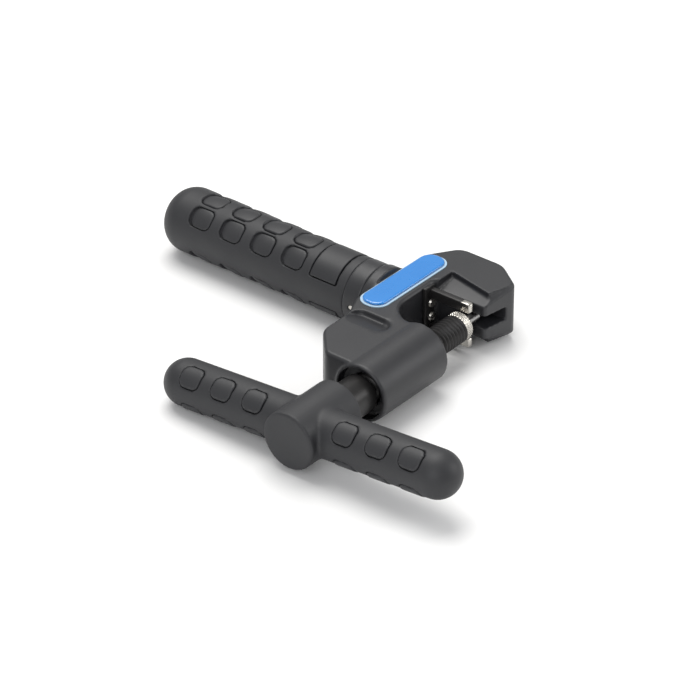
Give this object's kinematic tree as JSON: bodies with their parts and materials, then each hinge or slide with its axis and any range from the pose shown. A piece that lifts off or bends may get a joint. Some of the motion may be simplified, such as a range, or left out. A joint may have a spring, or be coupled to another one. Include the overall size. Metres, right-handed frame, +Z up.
{
  "type": "bicycle chain tool",
  "caption": "Workshop chain rivet tool: black forged claw body with a long soft side handle and a T-handled pressure screw that drives a push pin across the chain seat into the anvil slot.",
  "frame": {"origin": "on the push pin's axis, in the middle of the chain seat between the cradle's two teeth", "axes": "+Y is the way the pin pushes, +X points out of the throat away from the main handle, +Z is up when the tool lies on its side"},
  "size_m": [0.1757, 0.1129, 0.0233],
  "materials": {
    "body_black": "satin black powder coat",
    "nickel": "bright nickel plate",
    "label_border": "pale printed film",
    "label_blue": "domed blue resin",
    "tool_steel": "hardened and oiled",
    "core_plastic": "moulded",
    "grip_rubber": "matte soft touch",
    "pad_rubber": "matte soft touch",
    "collar_black": "satin black",
    "screw_black": "black oxide"
  },
  "bodies": {
    "frame": {"chain_cradle": "nickel", "collar_pin": "nickel", "cradle_rivets": "nickel", "handle_collar": "collar_black", "handle_core": "core_plastic", "handle_grip": "grip_rubber", "handle_pads_lower_back": "pad_rubber", "handle_pads_lower_crown": "pad_rubber", "handle_pads_lower_front": "pad_rubber", "handle_pads_upper_back": "pad_rubber", "handle_pads_upper_crown": "pad_rubber", "handle_pads_upper_front": "pad_rubber", "handle_panel_lower": "pad_rubber", "handle_panel_upper": "pad_rubber", "handle_tang": "tool_steel", "label_dome": "label_blue", "label_film": "label_border", "tool_body": "body_black"},
    "driver_pin": {"push_pin": "tool_steel"},
    "spindle": {"pressure_screw": "screw_black", "pin_retainer": "nickel", "cross_bar": "tool_steel", "roll_pin": "tool_steel", "tee_core": "core_plastic", "hub_plug": "core_plastic", "tee_grip": "grip_rubber", "tee_pads_upper": "pad_rubber", "tee_pads_lower": "pad_rubber"}
  },
  "joints": [
    {"name": "pin_feed", "type": "slide", "parent": "frame", "child": "driver_pin", "axis": [0, 1, 0], "range_m": [-0.0165, 0]},
    {"name": "screw_turn", "type": "hinge", "parent": "driver_pin", "child": "spindle", "pos_m": [0, -0.0776, 0], "axis": [0, 1, 0], "range_deg": [-3960, 0]}
  ],
  "couplings": [
    {"joint": "pin_feed", "follows": "screw_turn", "m_per_rad": 0.00023873}
  ]
}
